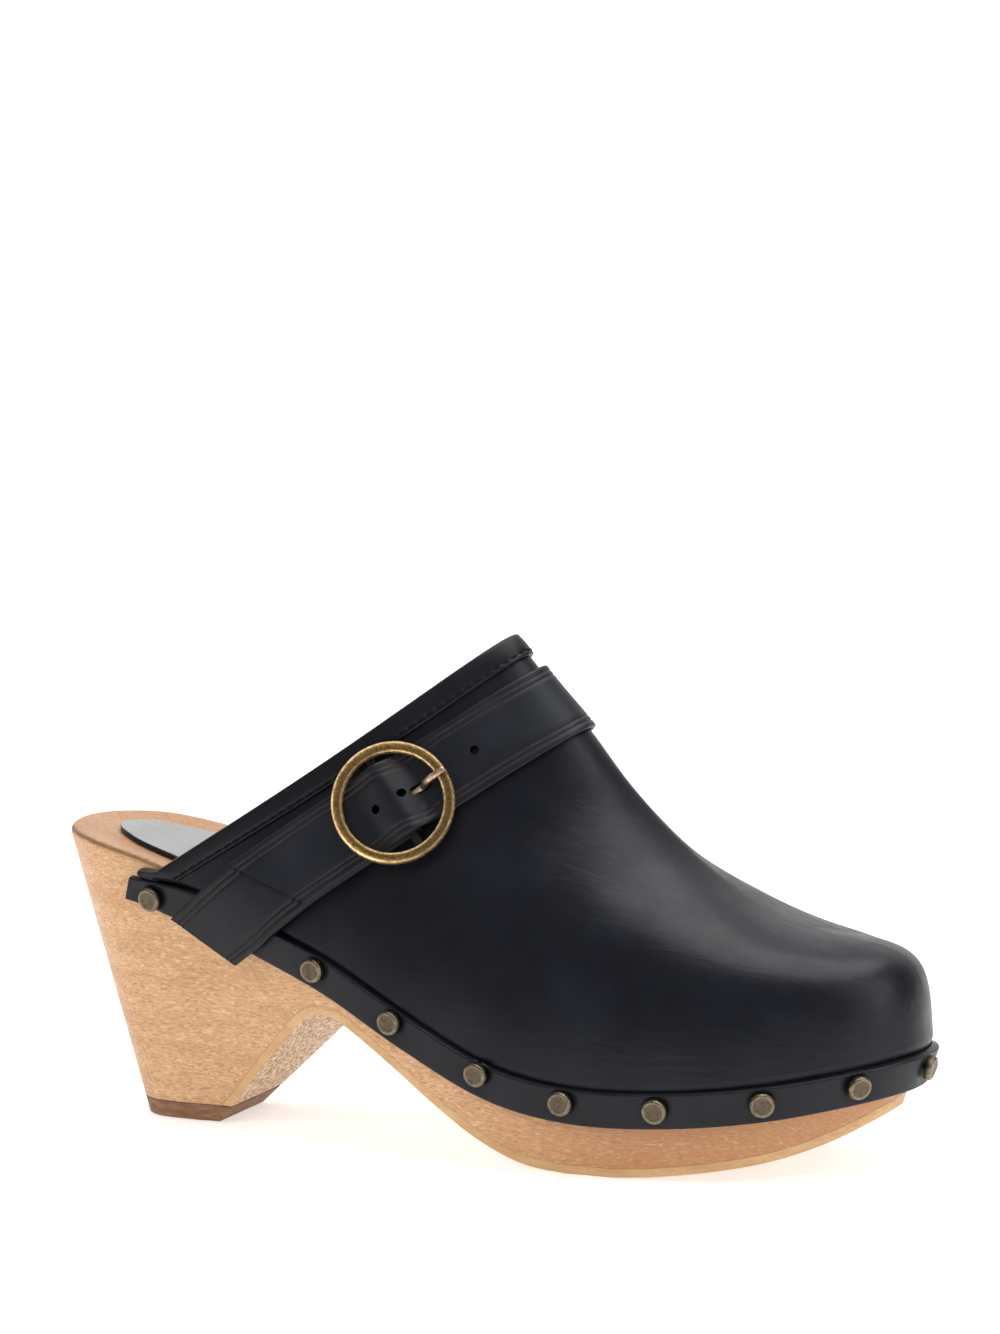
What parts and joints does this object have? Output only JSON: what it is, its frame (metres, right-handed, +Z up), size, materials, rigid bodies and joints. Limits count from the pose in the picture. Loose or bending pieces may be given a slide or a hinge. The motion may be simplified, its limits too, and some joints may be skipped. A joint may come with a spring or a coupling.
{
  "type": "wooden clog mule",
  "caption": "Slip-on women's mule with a carved wooden block-heel sole, a closed leather upper nailed round its edge and a buckled strap over the instep.",
  "frame": {"origin": "middle of the footprint box, on the floor the clog stands on", "axes": "+X towards the toe, +Y towards the inner side of the foot, +Z up; it is a right shoe with the buckle on the -Y side"},
  "size_m": [0.2384, 0.0908, 0.1313],
  "materials": {
    "wood": "clear satin over fine straight grain",
    "gum_rubber": "matt, fine ribbed edge",
    "tip_rubber": "matt",
    "black_leather": "smooth, soft sheen",
    "binding_leather": "smooth, stitched band",
    "rand_leather": "smooth, skived edges",
    "strap_leather": "smooth, creased lines along each edge",
    "lining_leather": "napped, matt",
    "sock_leather": "smooth, satin",
    "stiffener": "rough",
    "antique_brass": "aged, dark in the hollows, bright on the rims"
  },
  "bodies": {
    "shoe": {"wooden_sole": "wood", "outsole": "gum_rubber", "heel_tip": "tip_rubber", "heel_sock": "sock_leather", "vamp_upper": "black_leather", "vamp_lining": "lining_leather", "toe_puff": "stiffener", "topline_binding": "binding_leather", "rand_strip": "rand_leather", "strap": "strap_leather", "buckle_chape": "strap_leather", "heel_stud": "antique_brass", "nail_toe": "antique_brass", "nail_outer_1": "antique_brass", "nail_inner_1": "antique_brass", "nail_outer_2": "antique_brass", "nail_inner_2": "antique_brass", "nail_outer_3": "antique_brass", "nail_inner_3": "antique_brass", "nail_outer_4": "antique_brass", "nail_inner_4": "antique_brass", "nail_outer_5": "antique_brass", "nail_inner_5": "antique_brass", "nail_outer_6": "antique_brass", "nail_inner_6": "antique_brass", "nail_outer_7": "antique_brass", "nail_inner_7": "antique_brass", "nail_outer_8": "antique_brass", "nail_inner_8": "antique_brass"},
    "buckle": {"buckle_frame": "antique_brass"},
    "prong": {"buckle_prong": "antique_brass"}
  },
  "joints": [
    {"name": "buckle_rock", "type": "hinge", "parent": "shoe", "child": "buckle", "pos_m": [-0.01536, -0.02986, 0.08995], "axis": [0.6058, -0.1301, -0.7849], "range_deg": [-2, 2]},
    {"name": "prong_lift", "type": "hinge", "parent": "buckle", "child": "prong", "pos_m": [-0.01536, -0.02986, 0.08995], "axis": [0.6058, -0.1301, -0.7849], "range_deg": [0, 4]}
  ]
}
